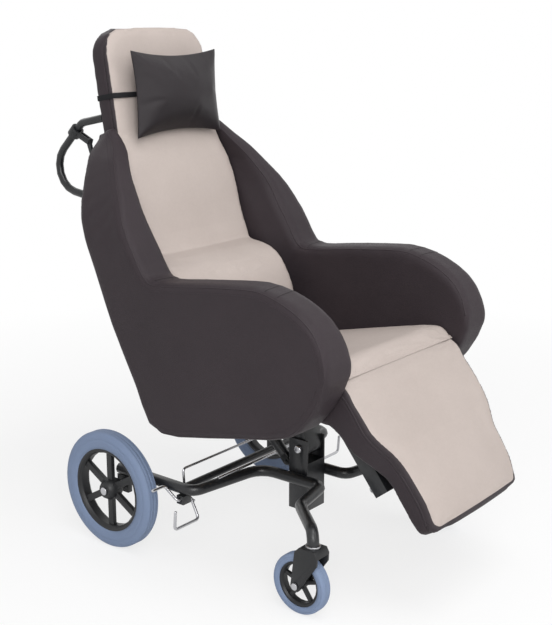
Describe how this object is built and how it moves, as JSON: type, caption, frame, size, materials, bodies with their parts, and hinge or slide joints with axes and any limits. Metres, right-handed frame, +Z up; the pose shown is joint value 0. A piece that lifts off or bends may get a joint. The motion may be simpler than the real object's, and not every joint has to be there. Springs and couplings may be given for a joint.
{
  "type": "tilting geriatric chair",
  "caption": "Upholstered shell chair with wings, armrests, hinged legrest and head pillow, tilting on a post over a wheeled base with casters and brakes.",
  "frame": {"origin": "centre of the bounding box on the floor, between the rear wheels and the legrest's end", "axes": "+X to the sitter's left, -Y the way the chair faces, +Z up"},
  "size_m": [0.692, 1.1893, 1.2716],
  "materials": {
    "brown_vinyl": "satin vinyl-coated fabric",
    "beige_fabric": "matt woven",
    "pillow_vinyl": "satin vinyl-coated fabric",
    "black_elastic": "matt webbing",
    "grey_tyre": "matt",
    "black_plastic": "satin moulded",
    "black_paint": "satin powder coat",
    "steel": "zinc plated",
    "plywood": "raw"
  },
  "bodies": {
    "base": {"base_tube_right": "black_paint", "base_tube_left": "black_paint", "center_post": "black_paint", "tilt_bolt": "steel", "rear_cross_tube": "black_paint", "stay_wire": "steel", "axle_lug_right": "black_paint", "axle_lug_left": "black_paint", "axle_bolt_right": "steel", "axle_bolt_left": "steel", "brake_boss_right": "black_paint", "brake_boss_left": "black_paint", "gas_spring_lug": "black_paint", "caster_washer_right": "steel", "caster_washer_left": "steel"},
    "brake": {"brake_lever_right": "steel", "brake_lever_left": "steel", "brake_link_rod": "steel"},
    "shell": {"tilt_yoke": "black_paint", "seat_rail_right": "black_paint", "seat_rail_left": "black_paint", "spring_bracket": "black_paint", "spring_pin": "steel", "seat_pan": "plywood", "legrest_pin": "steel", "seat_cushion": "beige_fabric", "lumbar_cushion": "beige_fabric", "back_shell": "brown_vinyl", "back_cushion": "beige_fabric", "side_panel_right": "brown_vinyl", "side_panel_left": "brown_vinyl", "push_handle_right": "black_paint", "push_handle_left": "black_paint", "lever_clamp": "black_plastic", "release_cable": "black_plastic"},
    "legrest": {"legrest_shell": "brown_vinyl", "legrest_pad": "beige_fabric", "foot_rail_right": "black_paint", "foot_rail_left": "black_paint", "foot_rail_screw_right": "steel", "foot_rail_screw_left": "steel"},
    "lever": {"tilt_lever": "black_plastic"},
    "spring_barrel": {"gas_spring_barrel": "black_paint"},
    "spring_rod": {"gas_spring_rod": "steel"},
    "pillow": {"head_pillow": "pillow_vinyl", "pillow_strap": "black_elastic"},
    "rear_wheel_right": {"rear_rim_right": "black_plastic", "rear_tyre_right": "grey_tyre"},
    "caster_swivel_right": {"caster_fork_right": "black_plastic", "caster_axle_right": "steel"},
    "caster_wheel_right": {"caster_hub_right": "black_plastic", "caster_tyre_right": "grey_tyre"},
    "rear_wheel_left": {"rear_rim_left": "black_plastic", "rear_tyre_left": "grey_tyre"},
    "caster_swivel_left": {"caster_fork_left": "black_plastic", "caster_axle_left": "steel"},
    "caster_wheel_left": {"caster_hub_left": "black_plastic", "caster_tyre_left": "grey_tyre"}
  },
  "joints": [
    {"name": "rear_wheel_right_spin", "type": "hinge", "parent": "base", "child": "rear_wheel_right", "pos_m": [-0.316, 0.269, 0.15], "axis": [1, 0, 0], "continuous": true},
    {"name": "caster_right_swivel", "type": "hinge", "parent": "base", "child": "caster_swivel_right", "pos_m": [-0.295, -0.346, 0.166], "axis": [0, 0, 1], "continuous": true},
    {"name": "caster_right_spin", "type": "hinge", "parent": "caster_swivel_right", "child": "caster_wheel_right", "pos_m": [-0.295, -0.315, 0.0715], "axis": [1, 0, 0], "continuous": true},
    {"name": "rear_wheel_left_spin", "type": "hinge", "parent": "base", "child": "rear_wheel_left", "pos_m": [0.316, 0.269, 0.15], "axis": [1, 0, 0], "continuous": true},
    {"name": "caster_left_swivel", "type": "hinge", "parent": "base", "child": "caster_swivel_left", "pos_m": [0.295, -0.346, 0.166], "axis": [0, 0, 1], "continuous": true},
    {"name": "caster_left_spin", "type": "hinge", "parent": "caster_swivel_left", "child": "caster_wheel_left", "pos_m": [0.295, -0.315, 0.0715], "axis": [1, 0, 0], "continuous": true},
    {"name": "shell_tilt", "type": "hinge", "parent": "base", "child": "shell", "pos_m": [0, -0.107, 0.26], "axis": [-1, 0, 0], "range_deg": [-8, 22]},
    {"name": "legrest_fold", "type": "hinge", "parent": "shell", "child": "legrest", "pos_m": [0, -0.331, 0.455], "axis": [-1, 0, 0], "range_deg": [-15, 38]},
    {"name": "brake_press", "type": "hinge", "parent": "base", "child": "brake", "pos_m": [0, 0.064, 0.162], "axis": [-1, 0, 0], "range_deg": [0, 20]},
    {"name": "tilt_lever_pull", "type": "hinge", "parent": "shell", "child": "lever", "pos_m": [-0.165, 0.4699, 0.9909], "axis": [1, 0, 0], "range_deg": [0, 18], "stiffness_Nm_per_rad": 0.6, "springref_deg": -8.59},
    {"name": "gas_spring_swing", "type": "hinge", "parent": "base", "child": "spring_barrel", "pos_m": [0, -0.046, 0.205], "axis": [-1, 0, 0], "range_deg": [-9.2, 24.2]},
    {"name": "gas_spring_stroke", "type": "slide", "parent": "spring_barrel", "child": "spring_rod", "axis": [0, 0.6918, 0.7221], "range_m": [-0.0318, 0.0122]},
    {"name": "pillow_slide", "type": "slide", "parent": "shell", "child": "pillow", "axis": [0, 0.1624, 0.9867], "range_m": [0, 0.04]}
  ],
  "couplings": [
    {"joint": "gas_spring_swing", "follows": "shell_tilt", "ratio": 1.07},
    {"joint": "gas_spring_stroke", "follows": "shell_tilt", "m_per_rad": -0.0802}
  ]
}
